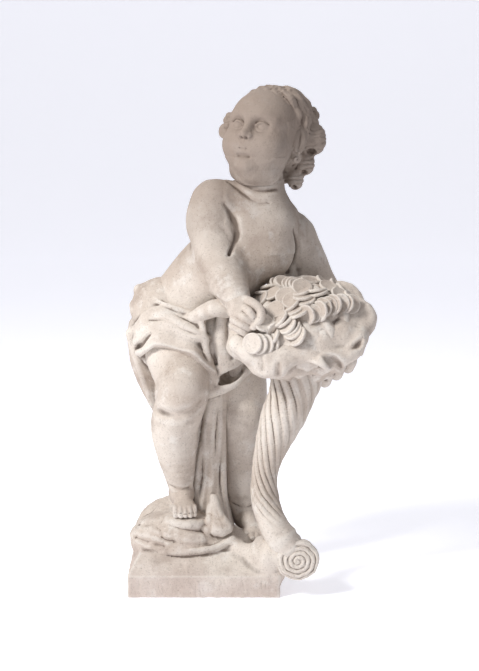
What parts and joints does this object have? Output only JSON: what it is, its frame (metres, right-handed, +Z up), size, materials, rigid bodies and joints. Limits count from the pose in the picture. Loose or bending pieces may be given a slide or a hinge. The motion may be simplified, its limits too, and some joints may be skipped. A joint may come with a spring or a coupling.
{
  "type": "stone putto statue",
  "caption": "Stone garden statue of a standing putto leaning on a twisted horn of plenty filled with coins, carved in one piece with its plinth.",
  "frame": {"origin": "middle of the plinth's underside", "axes": "+Z up, -Y towards the viewer whom the figure stands in front of, +X to the side of the horn"},
  "size_m": [0.5397, 0.3759, 1.1113],
  "materials": {
    "stone": "weathered sandstone, matt and finely grained"
  },
  "bodies": {
    "root": {"putto_statue": "stone"}
  },
  "joints": []
}
